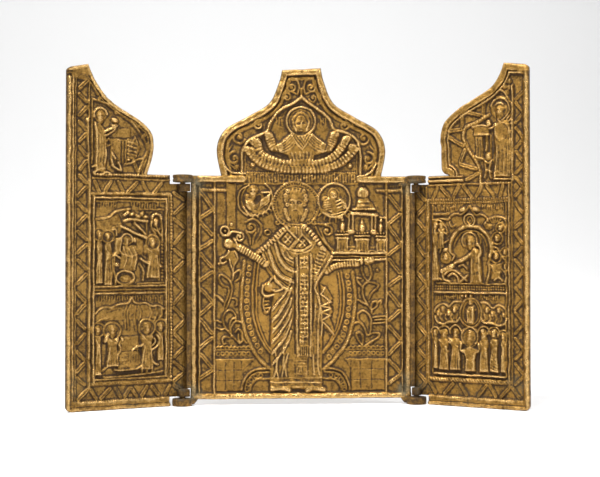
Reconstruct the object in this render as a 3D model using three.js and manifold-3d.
// A small folding triptych cast in brass: a centre leaf with an ogee head, and two wings that turn on pins in
// eyes at the centre leaf's corners. Millimetres, +Z up, the relief faces -Y, the floor is z = 0.
import * as THREE from "three";
import { mergeVertices } from "three/addons/utils/BufferGeometryUtils.js";
import Module from "manifold-3d";

const wasm = await Module();
wasm.setup();

// Thickness of the casting
const PLATE = 1.6; // back face to field
const RIM_HEIGHT = 1.7; // field to the top of the rims, the highest relief
const ROOT = 0.5; // how far relief is sunk into the plate
const BAR_TOP = 0.4; // width of a broad ridge's flat top as a share of its foot
const NARROW = 2.3; // ridges narrower than this come to an edge
const SLIVER = 0.05; // corners closer together than this are merged in the finished casting

// Heights of the leaves
const CENTRE_BOTTOM = 2.55;
const SHOULDER = 100;
const CENTRE_TOP = 147;
const TIP_SLOPE = 0.5; // how far the centre tip's ends lie below and above its middle
const LEFT_TOP = 145.5;
const LEFT_TOP_OUTER = 143.5;
const RIGHT_TOP = 147;
const RIGHT_TOP_OUTER = 145.4;
const CORNER_ROUND = 2.2;

// Widths of the centre leaf, from its middle
const CENTRE_HALF = 48.4;
const CENTRE_NECK = 35.2;
const CENTRE_BULGE = 37.1;
const CENTRE_TIP = 8.5;
const CENTRE_BORDER = 10.6; // edge to inner frame line

// Widths of the wings, from the hinge axis
const WING_REACH = 51.1;
const LEFT_LAP = 3.1; // part of each wing on the far side of its axis
const RIGHT_LAP = 1.8;
const INNER_BORDER = 5.4; // axis to the panel side
const OUTER_BORDER = 9.8; // wing's outer edge to the panel side
const LEFT_NECK = 15.7;
const LEFT_BULGE = 12.6;
const LEFT_TIP = 42;
const RIGHT_NECK = 15.0;
const RIGHT_BULGE = 10.9;
const RIGHT_TIP = 40;

// Hinges
const SIDE_GAP = 0.3; // between the edges of two leaves opened flat
const LIP_COVER = 1.3; // how far a side lip of the centre leaf reaches over the wing opened flat
const LIP_CLEARANCE = 0.35; // between a lip and the wing under and beside it
const CLOSED_GAP = 0.3; // between the rims of two leaves folded shut
const EYE_RADIUS = 4.4;
const EYE_HEIGHT = 3.3;
const EYE_CROWN = 0.8; // how far the middle of the eye's outside stands out past its ends
const PIN_RADIUS = 1.15;
const PIN_PLAY = 0.4;
const LUMP_HEIGHT = 1.6; // half the height of the lump that a pin grows from
const LUMP_WALL = 0.6; // pin to the side of its lump
const EYE_CLEARANCE = 0.6; // eye to the notch in the wing
const NECK_SHORT = 0.4; // the eye's neck ends this far from the hole
const NECK_ROOT = 3; // how far the neck reaches onto the leaf
const NECK_INSET = 0.3; // the neck lies this far inside the eye's upper and lower faces
const LEFT_OPEN = THREE.MathUtils.degToRad(24.05); // each wing's turn forward from flat
const RIGHT_OPEN = THREE.MathUtils.degToRad(34.02);

const NOTCH_LOW = EYE_HEIGHT + EYE_CLEARANCE; // the lower notch's top, over an eye that stands on the floor
const AXIS_HEIGHT = RIM_HEIGHT + CLOSED_GAP / 2; // hinge axis in front of the field

// Mouldings and zigzags
const RIM_WIDTH = 2.8;
const BAR_HEIGHT = 3.0;
const LINE_WIDTH = 1.1;
const LINE_HEIGHT = 1.2;
const ZIGZAG_WIDTH = 1.5;
const ZIGZAG_HEIGHT = 0.8;
const ZIGZAG_PITCH = 6.2; // run of one slanting bar

// The carving is drawn on a sheet of these sizes and stretched to the leaves
const SHEET_HALF = 37.8;
const SHEET_BULGE = 37.1;
const SHEET_SHOULDER = 100;
const SHEET_RISE = 47;
const SHEET_PANEL = [7.2, 41.3]; // axis to the panel's sides

const brass = (colour, roughness) =>
  new THREE.MeshStandardMaterial({ color: colour, roughness, metalness: 1 });
const centreBrass = brass(0xa9823f, 0.42);
const leftBrass = brass(0xa07a3c, 0.45);
const rightBrass = brass(0x9c783d, 0.45);

// A closed geometry as a solid, with its faces turned outwards.
function solidOf(geometry) {
  const bare = geometry.clone();
  bare.deleteAttribute("normal");
  bare.deleteAttribute("uv");
  const merged = mergeVertices(bare, 1e-4);
  const triVerts = new Uint32Array(merged.index.array);
  const vertProperties = merged.attributes.position.array;
  const made = new wasm.Manifold(new wasm.Mesh({ numProp: 3, vertProperties, triVerts }));
  if (made.volume() >= 0) return made;
  for (let i = 0; i < triVerts.length; i += 3)
    [triVerts[i + 1], triVerts[i + 2]] = [triVerts[i + 2], triVerts[i + 1]];
  return new wasm.Manifold(new wasm.Mesh({ numProp: 3, vertProperties, triVerts }));
}

// A solid's triangles as a geometry, without slivers.
function geometryOf(solid) {
  const mesh = solid.simplify(SLIVER).getMesh();
  const geometry = new THREE.BufferGeometry();
  geometry.setAttribute("position", new THREE.BufferAttribute(new Float32Array(mesh.vertProperties), 3));
  geometry.setIndex(new THREE.BufferAttribute(new Uint32Array(mesh.triVerts), 1));
  return geometry;
}

// A flat shape, outlined by [across, up] points, that stands from one height above the field to another.
function slab(points, low, high) {
  const shape = new THREE.Shape(points.map(([across, up]) => new THREE.Vector2(across, up)));
  const geometry = new THREE.ExtrudeGeometry(shape, { depth: high - low, bevelEnabled: false });
  geometry.translate(0, 0, low);
  geometry.rotateX(Math.PI / 2);
  return solidOf(geometry);
}

// A ridge along a line of [across, up] points, mitred at its corners: its section is a trapezium, or a triangle
// where it is narrow.
function ridge(points, width, high, closed = false) {
  const count = points.length;
  const corner = (i) => new THREE.Vector2(...points[(i + count) % count]);
  const top = width < NARROW ? [[0, high]] : [[-0.5 * BAR_TOP, high], [0.5 * BAR_TOP, high]];
  const section = [[-0.5, -ROOT], ...top, [0.5, -ROOT]];
  const positions = [];
  for (let i = 0; i < count; i++) {
    const before = corner(i).sub(corner(closed || i > 0 ? i - 1 : i));
    const after = corner(closed || i < count - 1 ? i + 1 : i).sub(corner(i));
    if (before.lengthSq() === 0) before.copy(after);
    if (after.lengthSq() === 0) after.copy(before);
    before.normalize();
    after.normalize();
    const along = before.clone().add(after).normalize();
    const stretch = width / Math.max(along.dot(after), 0.5);
    for (const [side, height] of section)
      positions.push(
        points[i][0] - along.y * side * stretch,
        -height,
        points[i][1] + along.x * side * stretch,
      );
  }
  const faces = [];
  const edges = section.length;
  for (let i = 0; i < (closed ? count : count - 1); i++)
    for (let k = 0; k < edges; k++) {
      const a = i * edges + k;
      const b = i * edges + ((k + 1) % edges);
      const c = ((i + 1) % count) * edges + k;
      const d = ((i + 1) % count) * edges + ((k + 1) % edges);
      faces.push(a, b, d, a, d, c);
    }
  if (!closed) {
    const last = (count - 1) * edges;
    for (let k = 1; k < edges - 1; k++) faces.push(0, k + 1, k, last, last + k, last + k + 1);
  }
  const geometry = new THREE.BufferGeometry();
  geometry.setAttribute("position", new THREE.BufferAttribute(new Float32Array(positions), 3));
  geometry.setIndex(faces);
  return solidOf(geometry);
}

// A rounded boss, as wide and tall as given, that stands as high as given above the field and is flat behind it.
function boss([across, up], halfWidth, halfHeight, high, sides = 6) {
  const geometry = new THREE.SphereGeometry(1, sides, 4);
  geometry.rotateX(Math.PI / 2);
  geometry.scale(halfWidth, high, halfHeight);
  const position = geometry.getAttribute("position");
  for (let i = 0; i < position.count; i++) position.setY(i, Math.min(position.getY(i), ROOT));
  geometry.translate(across, 0, up);
  return solidOf(geometry);
}

// Points on an ellipse from one angle to another, in turns, counted from the right over the top.
function arc([across, up], halfWidth, halfHeight, from, to, steps) {
  return Array.from({ length: steps + 1 }, (_, i) => {
    const angle = 2 * Math.PI * (from + ((to - from) * i) / steps);
    return [across + halfWidth * Math.cos(angle), up + halfHeight * Math.sin(angle)];
  });
}

// Points on a spiral that winds inwards to its middle; a negative number of turns winds it the other way.
function spiral([across, up], radius, turns, start = 0, steps = 4) {
  return Array.from({ length: steps + 1 }, (_, i) => {
    const share = i / steps;
    const angle = 2 * Math.PI * (start + turns * share);
    const r = radius * (1 - 0.8 * share);
    return [across + r * Math.cos(angle), up + r * Math.sin(angle)];
  });
}

// A smooth line through a few points.
function smooth(points, steps) {
  const curve = new THREE.SplineCurve(points.map(([a, b]) => new THREE.Vector2(a, b)));
  return curve.getPoints(steps).map((p) => [p.x, p.y]);
}

// A casting collects its plate and relief; place() carries the sheet's points to the leaf.
class Casting {
  constructor(plate, place) {
    this.solid = plate;
    this.place = place;
  }
  join(...solids) {
    for (const solid of solids) this.solid = this.solid.add(solid);
  }
  // Takes away relief that hangs over the plate's outline.
  trim(outline) {
    this.solid = this.solid.intersect(slab(outline, -2 * PLATE, 2 * RIM_HEIGHT));
  }
  slab(points, high) {
    this.join(slab(points.map(this.place), -ROOT, high));
  }
  ridge(points, width = LINE_WIDTH, high = LINE_HEIGHT, closed = false) {
    this.join(ridge(points.map(this.place), width, high, closed));
  }
  boss(centre, halfWidth, halfHeight, high, sides) {
    this.join(boss(this.place(centre), halfWidth, halfHeight, high, sides));
  }
  curl(centre, radius, turns, start) {
    this.ridge(spiral(centre, radius, turns, start), 0.9, 0.8);
  }
  halo(centre, radius, from = -0.1, to = 0.6) {
    this.ridge(arc(centre, radius, radius, from, to, 7), 0.9, 0.9);
  }
  ring(centre, halfWidth, halfHeight, width = 0.9, high = 0.9, steps = 6) {
    this.ridge(arc(centre, halfWidth, halfHeight, 0, 1, steps).slice(1), width, high, true);
  }
  // A robed standing figure: a skirt that widens to its foot, shoulders, folds, a head and sometimes a halo.
  figure({ at, height, width, halo = false, lean = 0, folds = 1 }) {
    const [across, foot] = at;
    const head = 0.1 * height;
    const neck = foot + 0.78 * height;
    const half = width / 2;
    const top = across + lean;
    this.slab(
      [
        [across - half, foot],
        [across + half, foot],
        [top + half, foot + 0.62 * height],
        [top + 0.45 * half, neck],
        [top - 0.45 * half, neck],
        [top - half, foot + 0.62 * height],
      ],
      0.8,
    );
    for (let i = 0; i < folds; i++) {
      const share = (i + 1) / (folds + 1) - 0.5;
      this.ridge(
        [
          [across + share * width, foot],
          [top + share * 0.8 * width, foot + 0.6 * height],
        ],
        0.13 * width,
        1.2,
      );
    }
    this.boss([top, foot + 0.88 * height], head, 1.15 * head, 1.4, 5);
    const disc = arc([top, foot + 0.88 * height], 1.9 * head, 1.9 * head, 0, 1, 6);
    if (halo) this.slab(disc.slice(1), 0.45);
  }
}

// A zigzag ridge that climbs from side to side between two uprights, or runs along a level band.
function zigzag(casting, from, to, low, high, level = false) {
  const count = Math.max(2, Math.round(Math.abs(to - from) / ZIGZAG_PITCH));
  const middle = (low + high) / 2;
  const reach = (high - low) / 2 - ZIGZAG_WIDTH / 2;
  const turns = Array.from({ length: count + 1 }, (_, i) => {
    const along = from + ((to - from) * i) / count;
    const side = middle + (i % 2 ? reach : -reach);
    return level ? [along, side] : [side, along];
  });
  casting.join(ridge(turns, ZIGZAG_WIDTH, ZIGZAG_HEIGHT));
}

// The edge of an ogee head, from its neck at the shoulder to its tip: it swells past the neck, then sweeps up
// in a hollow curve. Shares run from the tip's width to the bulge's, and from the shoulder to the tip.
function headEdge(neck, bulge, tip, top, shares, steps) {
  const at = ([width, height]) => [tip + (bulge - tip) * width, SHOULDER + (top - SHOULDER) * height];
  return smooth([[neck, SHOULDER], ...shares.map(at), [tip, top]], steps);
}
const CENTRE_SHARES = [
  [1, 0.25],
  [0.87, 0.43],
  [0.52, 0.555],
  [0.2, 0.68],
  [0.053, 0.87],
];
const LEFT_SHARES = [
  [0.985, 0.2],
  [0.97, 0.374],
  [0.78, 0.505],
  [0.34, 0.67],
  [0.1, 0.86],
];
const RIGHT_SHARES = [
  [0.97, 0.045],
  [0.985, 0.25],
  [1, 0.33],
  [0.945, 0.48],
  [0.69, 0.617],
  [0.24, 0.766],
  [0.07, 0.883],
];
const EDGE_STEPS = 14;

// The same line moved sideways by a distance, to the left of its run.
function beside(points, distance) {
  return points.map((point, i) => {
    const before = points[Math.max(i - 1, 0)];
    const after = points[Math.min(i + 1, points.length - 1)];
    const length = Math.hypot(after[0] - before[0], after[1] - before[1]);
    return [
      point[0] - (distance * (after[1] - before[1])) / length,
      point[1] + (distance * (after[0] - before[0])) / length,
    ];
  });
}

// Height on a leaf for a height on the sheet, with the foot and the head stretched apart.
function stretchHeight(bottom, top) {
  return (up) =>
    up < SHEET_SHOULDER
      ? bottom + ((up - bottom) * (SHOULDER - bottom)) / (SHEET_SHOULDER - bottom)
      : SHOULDER + ((up - SHEET_SHOULDER) * (top - SHOULDER)) / SHEET_RISE;
}

// Each wing's lap, and its hinge axis from the middle of the centre leaf.
function lapOf(side) {
  return side < 0 ? LEFT_LAP : RIGHT_LAP;
}
function axisX(side) {
  return CENTRE_HALF + SIDE_GAP + lapOf(side);
}

// A lip along the centre leaf's side, between the pins' lumps, that covers the gap to the wing.
function lip(side) {
  const near = side * (CENTRE_HALF - RIM_WIDTH / 2);
  const far = side * (CENTRE_HALF + SIDE_GAP + LIP_COVER);
  const low = LOWER_EYE + NOTCH_LOW + 2 * LUMP_HEIGHT + LIP_CLEARANCE;
  const high = UPPER_EYE - EYE_CLEARANCE - 2 * LUMP_HEIGHT - LIP_CLEARANCE;
  return slab([[near, low], [far, low], [far, high], [near, high]], LIP_CLEARANCE, RIM_HEIGHT);
}

// Eyes of the centre leaf: a lying ring with a crowned outside, on a neck that leaves the leaf's corner.
function eye(side, low) {
  const high = low + EYE_HEIGHT;
  const hole = PIN_RADIUS + PIN_PLAY;
  const profile = [
    [hole, low],
    [EYE_RADIUS - EYE_CROWN, low],
    [EYE_RADIUS, (low + high) / 2],
    [EYE_RADIUS - EYE_CROWN, high],
    [hole, high],
    [hole, low],
  ].map(([radius, up]) => new THREE.Vector2(radius, up));
  const geometry = new THREE.LatheGeometry(profile, 10);
  geometry.rotateX(Math.PI / 2);
  geometry.translate(side * axisX(side), -AXIS_HEIGHT, 0);
  return solidOf(geometry);
}
function eyeNeck(side, low, leafward) {
  const root = axisX(side) - EYE_RADIUS - EYE_CLEARANCE;
  const end = axisX(side) - PIN_RADIUS - PIN_PLAY - NECK_SHORT;
  const onLeaf = root - NECK_ROOT;
  const top = EYE_HEIGHT - NECK_INSET;
  const at = ([across, up]) => [side * across, leafward > 0 ? low + up : low + EYE_HEIGHT - up];
  const gusset = [
    [onLeaf, EYE_HEIGHT], [root, NECK_INSET], [end, NECK_INSET], [end, top], [CENTRE_HALF, top],
    [CENTRE_HALF, 1.5 * EYE_HEIGHT], [onLeaf, 1.5 * EYE_HEIGHT],
  ];
  const front = [[root, 2 * NECK_INSET], [end, 2 * NECK_INSET], [end, top - NECK_INSET], [root, top - NECK_INSET]];
  return [
    slab(gusset.map(at), NECK_INSET - PLATE, RIM_HEIGHT - NECK_INSET),
    slab(front.map(at), 0, AXIS_HEIGHT + PIN_RADIUS),
  ];
}
const LOWER_EYE = 0;
const UPPER_EYE = SHOULDER + 0.2 - EYE_HEIGHT;

function centreLeaf() {
  const edge = headEdge(CENTRE_NECK, CENTRE_BULGE, CENTRE_TIP, CENTRE_TOP, CENTRE_SHARES, EDGE_STEPS);
  const right = edge.map(([a, b]) => [a, b]);
  right[right.length - 1][1] += TIP_SLOPE;
  const left = edge.map(([a, b]) => [-a, b]);
  left[left.length - 1][1] -= TIP_SLOPE;
  const outline = [
    [-CENTRE_HALF, CENTRE_BOTTOM],
    [CENTRE_HALF, CENTRE_BOTTOM],
    [CENTRE_HALF, SHOULDER],
    ...right,
    ...left.slice().reverse(),
    [-CENTRE_HALF, SHOULDER],
  ];
  const height = stretchHeight(CENTRE_BOTTOM, CENTRE_TOP);
  const field = CENTRE_HALF - CENTRE_BORDER;
  const stretch = (up) => (up < SHEET_SHOULDER ? field / SHEET_HALF : CENTRE_BULGE / SHEET_BULGE);
  const place = ([across, up]) => [across * stretch(up), height(up)];
  const leaf = new Casting(slab(outline, -PLATE, 0), place);
  centreBorder(leaf, right, left);
  centreHead(leaf);
  saint(leaf);
  church(leaf);
  sword(leaf);
  roundels(leaf);
  pointedOval(leaf);
  wallsAndVines(leaf);
  leaf.trim(outline);
  for (const side of [-1, 1]) {
    leaf.join(lip(side));
    leaf.join(eye(side, LOWER_EYE), ...eyeNeck(side, LOWER_EYE, 1));
    leaf.join(eye(side, UPPER_EYE), ...eyeNeck(side, UPPER_EYE, -1));
  }
  return leaf.solid;
}

// Half-round side rims, a level bar at the shoulders and the foot, the head's rim and the zigzag columns.
function centreBorder(leaf, right, left) {
  const half = RIM_WIDTH / 2;
  const shoulderBar = SHOULDER - BAR_HEIGHT / 2;
  const footBar = CENTRE_BOTTOM + BAR_HEIGHT / 2;
  const inner = CENTRE_HALF - CENTRE_BORDER;
  const bead = CENTRE_HALF - RIM_WIDTH - 1.1;
  const middleOfNeck = (inner + CENTRE_NECK) / 2 - 6;
  for (const side of [-1, 1]) {
    const rim = side * (CENTRE_HALF - half - 0.05);
    leaf.join(ridge([[rim, CENTRE_BOTTOM + 0.1], [rim, SHOULDER - 0.1]], RIM_WIDTH, RIM_HEIGHT));
    leaf.join(ridge([[side * bead, footBar], [side * bead, shoulderBar]], LINE_WIDTH, LINE_HEIGHT));
    leaf.join(ridge([[side * inner, footBar], [side * inner, shoulderBar - 4]], LINE_WIDTH, LINE_HEIGHT));
    const bar = [[side * (CENTRE_HALF - 0.1), shoulderBar], [side * middleOfNeck, shoulderBar]];
    leaf.join(ridge(bar, BAR_HEIGHT, RIM_HEIGHT));
    const beads = [[side * bead, shoulderBar - 4.2], [side * (inner - 6), shoulderBar - 4.2]];
    leaf.join(ridge(beads, LINE_WIDTH, LINE_HEIGHT));
    const columnSides = [inner + LINE_WIDTH / 2, bead - LINE_WIDTH / 2].map((u) => side * u);
    zigzag(leaf, footBar + BAR_HEIGHT, shoulderBar - 5, Math.min(...columnSides), Math.max(...columnSides));
  }
  leaf.join(ridge([[-CENTRE_HALF + 0.1, footBar], [CENTRE_HALF - 0.1, footBar]], BAR_HEIGHT, RIM_HEIGHT));
  leaf.join(ridge(beside(right, half), RIM_WIDTH - 0.1, RIM_HEIGHT));
  leaf.join(ridge(beside(left, -half), RIM_WIDTH - 0.1, RIM_HEIGHT));
  const tip = CENTRE_TOP - half;
  leaf.join(
    ridge([[-CENTRE_TIP, tip - TIP_SLOPE], [CENTRE_TIP, tip + TIP_SLOPE]], RIM_WIDTH - 0.4, RIM_HEIGHT),
  );
}

// In the head: a pointed moulding round a half figure with spread arms over a ridged roll of cloth, and curls.
function centreHead(leaf) {
  const side = [[25.4, 101], [25.6, 110], [24, 115], [14.5, 120.3], [12, 127], [5, 131.3], [0, 134.3]];
  leaf.ridge(side, 1.2, 1.3);
  leaf.ridge(side.map(([across, up]) => [-across, up]), 1.2, 1.3);
  leaf.slab([[-24, 98], [24, 98], [24, 101.3], [-24, 101.3]], 0.35);
  leaf.boss([0, 123], 3.9, 4.8, 1.6);
  leaf.halo([0, 123.4], 6.3);
  leaf.slab([[-7, 107], [7, 107], [9, 113], [5, 118.5], [-5, 118.5], [-9, 113]], 1.0);
  leaf.ridge(arc([0, 117], 6, 4, 0.5, 1, 6), 1.4, 1.4);
  const roll = smooth([[-22.5, 113], [-16, 107.5], [0, 104.4], [16, 107.8], [22.5, 113.5]], 10);
  leaf.ridge(roll, 5, 1.6);
  for (const way of [-1, 1]) {
    leaf.ridge([[way * 6, 113.5], [way * 12.5, 117]], 3.4, 1.5);
    leaf.boss([way * 13.8, 117.2], 2.3, 2.6, 1.6, 6);
    leaf.boss([way * 20.5, 113.6], 3.2, 3.2, 1.5, 6);
    leaf.boss([way * 21, 104.6], 1.1, 1.1, 0.9, 6);
    leaf.curl([way * 3.5, 139.6], 2.6, way * 1.1, 0.5);
    leaf.curl([way * 5.4, 134.6], 2.2, -way * 1.1, 0.25);
    leaf.curl([way * 18.3, 122.4], 2.5, way * 1.2, 0.6);
    leaf.curl([way * 27.5, 117], 3, way * 1.2, 0.7);
    leaf.curl([way * 29, 107.5], 3, way * 1.2, 0.2);
  }
}

// The standing bishop: a robe with slanting folds, a mantle that both arms lift, and a long stole.
function saint(leaf) {
  leaf.slab([[-13.5, 8], [9, 8], [9, 30], [10, 54], [-14, 56], [-13.5, 40]], 0.7);
  for (let i = 0; i < 5; i++) {
    const foot = 17 + 5.5 * i;
    leaf.ridge([[-12.5, foot], [-8, foot + 4], [-3.5, foot + 10.5]], 1.3, 1.1);
  }
  const mantle = [
    [-5, 79], [2, 79], [9, 74], [14, 66], [14, 60.5], [9, 52], [6, 43], [0, 39], [-7, 43], [-12, 50], [-17, 59],
    [-18, 66.5], [-11, 75],
  ];
  leaf.slab(mantle, 0.95);
  leaf.ridge([[6.5, 46], [9.5, 54], [13, 62]], 1, 1.3);
  leaf.ridge([[-8, 45], [-13, 53], [-17, 62]], 1, 1.3);
  leaf.ridge([[-11, 69], [-9.5, 62], [-4, 56]], 0.9, 1.2);
  leaf.ridge([[-14, 66], [-12, 59], [-5, 50.5]], 0.9, 1.2);
  leaf.slab([[-2.4, 21], [4.5, 21], [4.5, 69], [-2.4, 69]], 1.3);
  leaf.slab([[-4.2, 13], [3.9, 13], [3.9, 20.2], [-4.2, 20.2]], 1.1);
  leaf.ridge([[-7.5, 78], [-17.5, 67.5]], 1.6, 1.6);
  leaf.ridge([[2.5, 77.5], [7.5, 71]], 1.6, 1.5);
  leaf.ridge([[-6, 78], [-3.5, 68.5], [1.5, 73.5]], 2.6, 1.5);
  leaf.ridge([[1, 75], [4.4, 69.6], [-3, 67.5]], 2, 1.45);
  leaf.ridge([[-16.5, 62], [-27.5, 69]], 3.6, 1.6);
  leaf.boss([-32, 70.5], 2.3, 2.3, 1.6, 6);
  leaf.ridge([[-27, 69.4], [-31, 71]], 2.2, 1.4);
  leaf.ridge([[11.5, 58.8], [15, 61.4], [24, 61.6]], 3, 1.6);
  leaf.boss([28.2, 62.8], 2.3, 1.7, 1.6, 6);
  leaf.slab([[-17.5, 42], [-14, 40], [-11, 46], [-10, 52], [-13, 54], [-18, 50]], 1.5);
  const hanging = [[8.5, 52], [13.8, 46.5], [9, 44], [13.6, 40.5], [8.8, 38], [13.6, 34.5], [14.6, 30], [8.5, 35]];
  leaf.slab(hanging, 1.2);
  leaf.ridge([[-13, 10.5], [8.8, 10.5]], 2.4, 1.1);
  leaf.boss([-9, 6.9], 4, 1.5, 1.5, 6);
  leaf.boss([5.5, 6.9], 3.4, 1.7, 1.5, 6);
  leaf.boss([-2.7, 87], 5.6, 6.4, 1.65, 8);
  leaf.boss([-2.7, 81.2], 4.6, 4.4, 1.45, 8);
  leaf.ridge(arc([-2.7, 86.6], 10, 9.9, -0.09, 0.59, 10), 1.7, 1.1);
}

// The model church on the saint's hand: a tray, three towers, and a domed pavilion behind them.
function church(leaf) {
  leaf.ridge([[13.5, 65.8], [37.2, 65.8]], 1.4, 1.5);
  leaf.ridge([[14.5, 63.2], [37.2, 63.2]], 1.2, 1.3);
  leaf.slab([[15, 66], [37, 66], [37, 71.5], [15, 71.5]], 0.7);
  const towers = [
    { middle: 18.1, half: 2.6, eaves: 73.5, tip: 79 },
    { middle: 26.8, half: 3, eaves: 74, tip: 80.6 },
    { middle: 34.9, half: 2.1, eaves: 73, tip: 79.4 },
  ];
  for (const { middle, half, eaves, tip } of towers) {
    leaf.slab([[middle - half, 66.3], [middle + half, 66.3], [middle + half, eaves], [middle - half, eaves]], 1.2);
    leaf.ridge([[middle - half - 0.4, eaves], [middle + half + 0.4, eaves]], 1.1, 1.5);
    leaf.boss([middle, (eaves + tip) / 2], 0.6 * half, (tip - eaves) / 2, 1.4, 6);
  }
  leaf.slab([[21, 74], [33, 74], [33, 84], [21, 84]], 0.35);
  for (const column of [22, 31.6]) leaf.ridge([[column, 75], [column, 83]], 1.5, 1.3);
  leaf.ridge([[21, 84], [33, 84]], 1.5, 1.5);
  leaf.slab([[23.3, 84], [31.6, 84], [30, 87.6], [29.2, 90.6], [24.8, 90.6], [24.4, 87.6]], 1.0);
  leaf.boss([27, 92.8], 2.6, 2.6, 1.6, 8);
}

// The upright sword in the other hand: a broad blade on a guard that ends in two scrolls.
function sword(leaf) {
  leaf.slab([[-32.6, 78], [-29, 78], [-29, 96], [-32.6, 96]], 0.6);
  leaf.ridge([[-30.8, 72], [-30.8, 96]], 1.2, 1.1);
  leaf.curl([-33.4, 75.8], 2.2, 1.2, 0.9);
  leaf.curl([-27.6, 73.4], 2.1, -1.2, 0.4);
  leaf.ridge([[-31.3, 68.5], [-31.5, 64], [-30, 60]], 2, 1.1);
}

// Two busts in the upper corners of the field, one with a book, and a curl of cloud under each.
function roundels(leaf) {
  leaf.ridge(arc([-20.3, 90], 8, 8.4, 0.3, 0.75, 7), 1.1, 1.0);
  leaf.slab([[-26, 83.5], [-19, 81.5], [-13, 82.5], [-13.5, 91.5], [-21, 92.5], [-26, 90]], 0.8);
  leaf.boss([-20.6, 92.6], 3, 4, 1.6, 6);
  leaf.boss([-22, 87], 3.2, 2.6, 1.4, 6);
  leaf.slab([[-19, 84.5], [-14.6, 86], [-13.6, 92.4], [-16.4, 92]], 1.4);
  leaf.ring([14.6, 89.3], 7, 7.4, 1.1, 1.1);
  leaf.slab([[8.6, 86.5], [14, 83], [20.6, 86.5], [19, 90], [15, 90.3], [10.5, 90]], 1.1);
  leaf.boss([14, 92.4], 2.8, 3.4, 1.6, 6);
  leaf.boss([16.5, 86], 3.2, 1.9, 1.5, 6);
  for (const [across, way] of [[-21.6, 1], [11.2, -1]]) {
    leaf.ridge([...spiral([across, 76.6], 2.8, -1.1 * way, 0.25), [across, 76.6]], 0.9, 0.9);
    leaf.ridge([[across, 79.6], [across + way * 4, 76], [across + way * 1.5, 70.5], [across, 69.6]], 1.2, 1.0);
  }
}

// The pointed oval round the figure, a double line within and a cord without.
function pointedOval(leaf) {
  const left = smooth([[-25, 60], [-26, 47], [-24.6, 32], [-18, 20], [-13.8, 15.6]], 7);
  const right = smooth([[23, 58], [23.7, 46], [21.6, 32], [16, 21], [9.6, 15.4]], 7);
  leaf.ridge(left, 1.1, 0.9);
  leaf.ridge(right, 1.1, 0.9);
  leaf.ridge(smooth([[-20, 60], [-21.5, 46], [-19.6, 32], [-14, 22.8]], 6), 1.5, 0.8);
  leaf.ridge(smooth([[18, 57], [19, 45], [16.6, 32.6], [9.6, 22.6]], 6), 1.5, 0.8);
}

// A brick wall with a coping along the foot, an arch against the figure, and a looping vine on each side.
function wallsAndVines(leaf) {
  for (const { outer, inner, foot, middle } of [
    { outer: -37, inner: -21, foot: -23.5, middle: -17.6 },
    { outer: 36.5, inner: 17.5, foot: 21.5, middle: 12.2 },
  ]) {
    const way = Math.sign(outer);
    leaf.slab([[outer, 6], [foot, 6], [foot, 16], [inner, 20.5], [inner + way * 3.5, 25], [outer, 25]], 0.4);
    leaf.ridge([[outer, 19.6], [inner + way, 19.6]], 0.8, 0.8);
    leaf.ridge([[outer, 24.6], [inner + way * 3.5, 24.6]], 0.8, 0.8);
    leaf.ridge([[outer, 13.4], [foot, 13.4]], 0.5, 0.6);
    leaf.ridge(arc([middle, 6.6], 7.6, 8.6, way > 0 ? 0 : 0.5, 0.25, 5), 1.3, 0.9);
    leaf.ridge(arc([middle, 6.6], 4, 4, way > 0 ? 0 : 0.5, 0.25, 4), 1, 0.8);
    const stem = [
      [way * 28.5, 26.5], [way * 32, 33], [way * 33, 40], [way * 29.5, 48], [way * 29.5, 54], [way * 31.5, 59],
    ];
    leaf.ridge(smooth(stem, 6), 1.3, 0.9);
    leaf.ring([way * 30.5, 37], 2.6, 4.2, 0.9, 0.9);
    leaf.ring([way * 27, 31], 2, 3.6, 0.9, 0.9);
    leaf.ring([way * 32.2, 52.6], 2.6, 4, 0.9, 0.9);
    leaf.curl([way * 33.6, 28], 1.9, -way * 1.1, 0.1);
    leaf.curl([way * 28.6, 44.6], 1.8, way * 1.1, 0.3);
    leaf.ridge([[way * 35.6, 62], [way * 32, 61.5], [way * 30, 65.5]], 1.3, 1);
  }
}

// The wing's flat outline in [axis distance, up], with its head, its rounded corners and its two hinge notches.
function wingOutline(edge, topOuter, side) {
  const notchSide = EYE_RADIUS + EYE_CLEARANCE;
  const notchLow = LOWER_EYE + NOTCH_LOW;
  const notchHigh = UPPER_EYE - EYE_CLEARANCE;
  const round = (up, from) => arc([WING_REACH - CORNER_ROUND, up], CORNER_ROUND, CORNER_ROUND, from, from + 0.25, 4);
  const points = [
    [notchSide, 0],
    ...round(CORNER_ROUND, -0.25),
    ...round(topOuter - CORNER_ROUND, 0),
    ...edge.slice().reverse(),
    [notchSide, SHOULDER],
    [notchSide, notchHigh],
    [-lapOf(side), notchHigh],
    [-lapOf(side), notchLow],
    [notchSide, notchLow],
  ];
  return points.map(([across, up]) => [side * across, up]);
}

// Pins that reach through the eyes, each on a low lump at the wing's corner.
function pins() {
  const solids = [];
  for (const [end, notch, way] of [
    [LOWER_EYE + PIN_PLAY, LOWER_EYE + NOTCH_LOW, 1],
    [UPPER_EYE + EYE_HEIGHT - PIN_PLAY, UPPER_EYE - EYE_CLEARANCE, -1],
  ]) {
    const root = notch + way * LUMP_HEIGHT;
    const pin = new THREE.CylinderGeometry(PIN_RADIUS, PIN_RADIUS, Math.abs(root - end), 8);
    pin.rotateX(Math.PI / 2);
    pin.translate(0, -AXIS_HEIGHT, (end + root) / 2);
    solids.push(solidOf(pin));
    solids.push(boss([0, root], PIN_RADIUS + LUMP_WALL, LUMP_HEIGHT, AXIS_HEIGHT + PIN_RADIUS + 0.2));
  }
  return solids;
}

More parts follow.
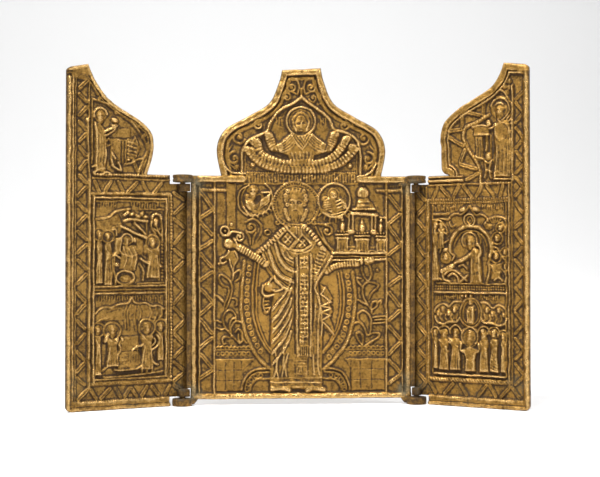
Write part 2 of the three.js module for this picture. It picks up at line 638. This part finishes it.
// Side rims, the level bar and band under the shoulder, frames round two panels, and the zigzag bands.
function wingBorder(wing, edge, side) {
  const half = RIM_WIDTH / 2;
  const at = (across) => side * across;
  const rim = WING_REACH - half - 0.05;
  const panelInner = INNER_BORDER;
  const panelOuter = WING_REACH - OUTER_BORDER;
  const clearOfLip = LIP_COVER + LIP_CLEARANCE - lapOf(side);
  const notchLow = LOWER_EYE + NOTCH_LOW;
  const notchHigh = UPPER_EYE - EYE_CLEARANCE;
  const bandTop = SHOULDER - BAR_HEIGHT;
  const bandFoot = bandTop - 5.6;
  const line = (points, width = LINE_WIDTH, high = LINE_HEIGHT) =>
    wing.join(ridge(points.map(([across, up]) => [at(across), up]), width, high));
  const top = edge[edge.length - 1][1];
  line([[rim, CORNER_ROUND], [rim, top - CORNER_ROUND - 2.5]], RIM_WIDTH, RIM_HEIGHT);
  line([[EYE_RADIUS + EYE_CLEARANCE + 0.1, half + 0.1], [rim, half + 0.1]], RIM_WIDTH, RIM_HEIGHT);
  line([[panelInner, 10.5], [panelInner, bandTop]]);
  line([[panelOuter, 10.5], [panelOuter, top - 9]]);
  line([[EYE_RADIUS + EYE_CLEARANCE + 0.1, SHOULDER - half - 0.1], [edge[0][0] + 6, SHOULDER - half - 0.1]],
    RIM_WIDTH, RIM_HEIGHT);
  line([[panelInner, bandFoot], [panelOuter, bandFoot]], 1.4, LINE_HEIGHT);
  line([[panelInner, 11.5], [panelOuter, 11.5]], 1.8, LINE_HEIGHT);
  line(beside(edge, -half), RIM_WIDTH - 0.1, RIM_HEIGHT);
  line([[edge[edge.length - 1][0] + half, top - half - 0.2], [WING_REACH - half, top - half - 1.6]],
    RIM_WIDTH - 0.6, RIM_HEIGHT);
  const sides = (a, b) => [Math.min(at(a), at(b)), Math.max(at(a), at(b))];
  zigzag(wing, 5, top - 8, ...sides(panelOuter + 0.6, rim - half));
  zigzag(wing, notchLow + 2, notchHigh - 2, ...sides(clearOfLip, panelInner - 0.6));
  zigzag(wing, at(panelInner + 1), at(panelOuter - 1), bandFoot + 0.7, bandTop, true);
  zigzag(wing, at(panelInner - 1), at(panelOuter + 1), BAR_HEIGHT + 0.2, 10.6, true);
}

// A rectangular frame between two corners on the sheet.
function panelFrame(wing, [left, foot], [right, top]) {
  wing.ridge([[left, foot], [right, foot], [right, top], [left, top]], LINE_WIDTH, 1.0, true);
}

// The left wing's three scenes: a messenger in the head, then two crowded panels.
function leftScenes(wing) {
  wing.figure({ at: [36.5, 101], height: 27, width: 6.5, halo: true, folds: 2 });
  wing.ridge([[34.5, 118], [31.5, 119], [29.6, 122.2]], 2, 1.4);
  wing.ridge([[39.4, 131], [33, 125.5], [24, 122.5], [18.5, 117], [17, 110], [20, 103]], 1, 1);
  wing.slab([[19, 106], [26, 106], [26, 116], [22, 117], [18.5, 112]], 0.6);
  for (const up of [108.4, 111, 113.6]) wing.ridge([[19.4, up], [25.4, up]], 0.8, 1);
  wing.slab([[40, 98.5], [22, 98.5], [24, 102], [31, 100.8], [36, 103.5], [40, 102]], 0.8);
  panelFrame(wing, [8.5, 50.6], [38.8, 88.8]);
  const hills = [
    [38, 52], [10, 52], [10, 78], [13, 83], [17, 80], [20, 84], [25, 85.3], [30, 83.6], [33, 81], [38, 80],
  ];
  wing.slab(hills, 0.35);
  wing.figure({ at: [36.6, 53], height: 22, width: 3.6, folds: 0 });
  wing.figure({ at: [33, 53.5], height: 21, width: 4, folds: 0 });
  wing.figure({ at: [28.8, 58], height: 17, width: 3.4, folds: 0 });
  wing.figure({ at: [24.6, 58], height: 16, width: 6, halo: true });
  wing.figure({ at: [13, 54], height: 20.5, width: 5.4, halo: true });
  wing.figure({ at: [9.9, 53], height: 18, width: 3, folds: 0 });
  wing.ridge([[26.6, 77], [21, 74.6], [16.4, 72.4]], 1.6, 1.3);
  wing.ridge([[21.6, 79.4], [16.2, 74]], 1, 1.2);
  wing.slab([[26, 78], [22, 78], [20, 82], [23, 83.6], [26, 82]], 0.9);
  wing.ring([25.4, 55.4], 3.9, 2.7, 1.2, 1.1);
  wing.slab([[12.6, 72], [8.8, 72], [8.8, 80], [11.5, 83], [14, 80]], 0.8);
  panelFrame(wing, [8.5, 12.9], [38.8, 48.8]);
  const curtain = [[38, 41], [33, 43], [30, 43], [24, 45.6], [22.6, 47], [21, 45.4], [17, 45], [13, 43.4], [8.8, 42]];
  wing.ridge(curtain, 0.8, 0.9);
  for (const middle of [25.6, 22.4, 20]) wing.ridge([[middle, 31], [middle, 44.6]], 1.1, 0.9);
  wing.slab([[27.6, 20], [18.4, 20], [19.6, 31], [26.8, 31]], 0.7);
  for (const up of [22.5, 25.5, 28.5]) wing.ridge([[27, up], [19, up]], 0.8, 1);
  wing.slab([[30, 17.6], [18, 18.8], [19, 14.4], [28.6, 14.4]], 1.1);
  wing.figure({ at: [37.2, 14.5], height: 22, width: 3.6, folds: 0 });
  wing.figure({ at: [32, 15], height: 21.5, width: 7, halo: true, lean: -1.6, folds: 2 });
  wing.figure({ at: [15, 15], height: 22, width: 7, halo: true, lean: 1.4, folds: 2 });
  wing.figure({ at: [9.9, 15], height: 22, width: 3.4, folds: 0 });
}

// The right wing's three scenes: a woman with a reading desk in the head, then two crowded panels.
function rightScenes(wing) {
  wing.figure({ at: [39.6, 99.5], height: 31.5, width: 8.4, folds: 3 });
  wing.halo([38.6, 127.4], 5);
  wing.ridge([[36, 120], [38.6, 113.5], [41, 114.6], [42, 120]], 1.2, 1.4);
  wing.ridge([[37.4, 131.6], [31, 131], [31, 124], [22.4, 120.6], [22, 116], [28, 105.4], [28.8, 97.8]], 1.1, 1.1);
  for (const [a, b] of [
    [[20.6, 127], [21.4, 119.6]],
    [[15.6, 119.6], [21, 119.6]],
    [[15.4, 116.6], [21.4, 112.4]],
    [[20.4, 105.6], [22.4, 111]],
    [[20.8, 104.6], [27.8, 103]],
    [[22.6, 97.6], [27.8, 100]],
    [[22.6, 127.4], [30, 124.8]],
  ])
    wing.ridge([a, b], 1.2, 0.9);
  wing.slab([[26, 116.8], [36, 116.8], [35, 120.6], [27, 120.6]], 0.9);
  wing.slab([[27.2, 105.6], [30.8, 104.8], [30.8, 117.4], [27.2, 117.4]], 0.8);
  wing.slab([[31.4, 98], [34.6, 98], [34.6, 109], [31.4, 109]], 0.9);
  panelFrame(wing, [7.2, 52.6], [41.2, 88.4]);
  const cloud = [[8, 80.4], [14, 81], [15.4, 82.8], [21, 82.6], [24.6, 86], [28, 82.8], [32, 81.4], [37, 80.8], [41, 79]];
  wing.ridge(cloud, 0.9, 0.9);
  wing.ring([24.6, 80.4], 2, 2, 1.1, 1.2);
  wing.boss([22, 84.6], 2.2, 1, 1.3, 6);
  wing.boss([27.6, 84.6], 2.2, 1, 1.3, 6);
  wing.ridge(arc([24.8, 66], 8.4, 10.6, -0.1, 0.55, 10), 1.9, 1.3);
  wing.figure({ at: [27.4, 54], height: 21.5, width: 6.4, halo: true, lean: -2.4 });
  wing.ridge([[25, 62.6], [17.6, 61.4]], 2, 1.4);
  wing.figure({ at: [13.6, 54], height: 14.6, width: 6.4, halo: true });
  wing.ridge([[14, 58.4], [20, 62.6]], 2.4, 1.4);
  wing.figure({ at: [9, 54], height: 20, width: 4, folds: 0 });
  wing.slab([[15.6, 54], [22, 54], [22.8, 57.6], [16.6, 58.6]], 1.1);
  wing.figure({ at: [36.6, 54], height: 14, width: 5.4 });
  wing.figure({ at: [39.6, 60], height: 16, width: 3.6, folds: 0 });
  for (const [across, up] of [[10, 76.5], [34, 76.6], [38, 77.4]])
    wing.boss([across, up], 1.6, 1.9, 1.3, 6);
  panelFrame(wing, [7.2, 13.6], [41.2, 48.4]);
  wing.ring([25, 40], 4.6, 6.4, 1.1, 1.1);
  wing.figure({ at: [25, 35.6], height: 10.8, width: 3.6, folds: 0 });
  for (const middle of [13.6, 36]) {
    wing.slab([[middle - 5.6, 37.6], [middle - 2, 35.8], [middle + 3, 36], [middle + 5.4, 38], [middle + 5, 43.6],
      [middle + 1, 44.8], [middle - 3, 44.4], [middle - 5.4, 42.4]], 0.5);
    for (const side of [-2.6, 2.6]) wing.boss([middle + side, 41.6], 1.8, 2.3, 1.3, 6);
  }
  for (const [across, width] of [[8.9, 2.6], [12.6, 5.2], [18, 4.6], [31, 4.6], [35.8, 4.4], [39.6, 2.8]])
    wing.figure({ at: [across, 15.4], height: 18.6, width, halo: width > 5, folds: width > 4 ? 1 : 0 });
  wing.figure({ at: [24.8, 15.2], height: 18.4, width: 6, halo: true, folds: 2 });
  for (const way of [-1, 1]) wing.ridge([[24.8 + way * 2.4, 26.6], [24.8 + way * 4, 24.8]], 1.6, 1.4);
}

// A wing is modelled about its hinge axis: its field lies behind the axis, and side is -1 on the left.
function wingLeaf(side, tip, bulge, neck, top, topOuter, shares, scenes) {
  const edge = headEdge(neck, bulge, tip, top, shares, EDGE_STEPS);
  const height = stretchHeight(0, top);
  const panel = [INNER_BORDER + 1.8, WING_REACH - OUTER_BORDER];
  const stretch = (panel[1] - panel[0]) / (SHEET_PANEL[1] - SHEET_PANEL[0]);
  const place = ([across, up]) => [side * (panel[0] + (across - SHEET_PANEL[0]) * stretch), height(up)];
  const outline = wingOutline(edge, topOuter, side);
  const wing = new Casting(slab(outline, -PLATE, 0), place);
  wingBorder(wing, edge, side);
  scenes(wing);
  wing.trim(outline);
  wing.join(...pins());
  const geometry = geometryOf(wing.solid);
  geometry.translate(0, AXIS_HEIGHT, 0);
  return geometry;
}

function mesh(name, geometry, material) {
  geometry.computeVertexNormals();
  const made = new THREE.Mesh(geometry, material);
  made.name = name;
  return made;
}

const triptych = new THREE.Group();
triptych.add(mesh("centre_leaf", geometryOf(centreLeaf()), centreBrass));

const leftHinge = new THREE.Group();
leftHinge.position.set(-axisX(-1), -AXIS_HEIGHT, 0);
leftHinge.rotation.z = LEFT_OPEN;
const leftGeometry = wingLeaf(
  -1, LEFT_TIP, LEFT_BULGE, LEFT_NECK, LEFT_TOP, LEFT_TOP_OUTER, LEFT_SHARES, leftScenes,
);
leftHinge.add(mesh("left_wing", leftGeometry, leftBrass));
triptych.add(leftHinge);

const rightHinge = new THREE.Group();
rightHinge.position.set(axisX(1), -AXIS_HEIGHT, 0);
rightHinge.rotation.z = -RIGHT_OPEN;
const rightGeometry = wingLeaf(
  1, RIGHT_TIP, RIGHT_BULGE, RIGHT_NECK, RIGHT_TOP, RIGHT_TOP_OUTER, RIGHT_SHARES, rightScenes,
);
rightHinge.add(mesh("right_wing", rightGeometry, rightBrass));
triptych.add(rightHinge);

// The origin is the middle of the standing triptych's footprint, on the floor.
triptych.updateMatrixWorld(true);
const box = new THREE.Box3().setFromObject(triptych, true);
triptych.position.set(-(box.min.x + box.max.x) / 2, -(box.min.y + box.max.y) / 2, -box.min.z);

const part = new THREE.Group();
part.add(triptych);
export default part;
